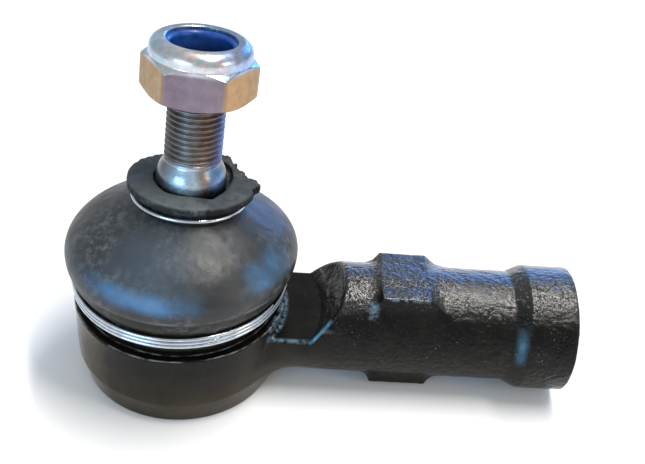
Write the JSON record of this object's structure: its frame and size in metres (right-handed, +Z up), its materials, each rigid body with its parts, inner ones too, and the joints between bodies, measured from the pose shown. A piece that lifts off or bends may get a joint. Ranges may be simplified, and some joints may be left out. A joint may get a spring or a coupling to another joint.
{
  "type": "tie rod end",
  "caption": "Tie rod end: a black forged ball-joint housing with a threaded tubular shank, and a leaning ball stud in a rubber boot with a lock nut on its thread.",
  "frame": {"origin": "on the ball housing's axis, in the plane that the housing's foot and the shank's collar stand in", "axes": "+Z up the housing's axis towards the stud; +X along the shank to its open, threaded end"},
  "size_m": [0.0922, 0.0408, 0.0643],
  "materials": {
    "black_paint": "glossy black paint over a rough forged skin",
    "plate_steel": "dark phosphated steel",
    "seat_plastic": "smooth acetal",
    "spring_steel": "oiled spring steel",
    "stud_steel": "polished steel, darker in the thread",
    "boot_rubber": "satin black rubber",
    "ring_wire": "bright drawn wire",
    "nut_zinc": "bright zinc with a faint yellow and violet tint",
    "insert_nylon": "smooth blue nylon"
  },
  "bodies": {
    "housing": {"housing": "black_paint", "closing_plate": "plate_steel", "bearing_upper": "seat_plastic", "bearing_lower": "seat_plastic", "preload_spring": "spring_steel", "boot_ring_lower": "ring_wire"},
    "boot": {"boot": "boot_rubber"},
    "boot_lip": {"boot_ring_upper": "ring_wire"},
    "stud": {"ball_stud": "stud_steel"},
    "nut_insert": {"nut_insert": "insert_nylon"},
    "nut": {"nut_body": "nut_zinc"}
  },
  "joints": [
    {"name": "stud_lean_direction", "type": "hinge", "parent": "housing", "child": "boot", "pos_m": [0, 0, 0.014], "axis": [0, 0, 1], "continuous": true},
    {"name": "stud_lean", "type": "hinge", "parent": "boot", "child": "boot_lip", "pos_m": [0, 0, 0.014], "axis": [-0.9135, 0.4067, 0], "range_deg": [-31.4, 16.6], "deforming": ["boot"]},
    {"name": "stud_spin", "type": "hinge", "parent": "boot_lip", "child": "stud", "pos_m": [0, 0, 0.014], "axis": [0.0524, 0.1177, 0.9917], "continuous": true},
    {"name": "nut_travel", "type": "slide", "parent": "stud", "child": "nut_insert", "axis": [0.0524, 0.1177, 0.9917], "range_m": [-0.0112, 0.0076]},
    {"name": "nut_turn", "type": "hinge", "parent": "nut_insert", "child": "nut", "pos_m": [0, 0, 0.014], "axis": [0.0524, 0.1177, 0.9917], "range_deg": [-3960, 2700]}
  ],
  "couplings": [
    {"joint": "nut_travel", "follows": "nut_turn", "m_per_rad": 0.00015915}
  ]
}
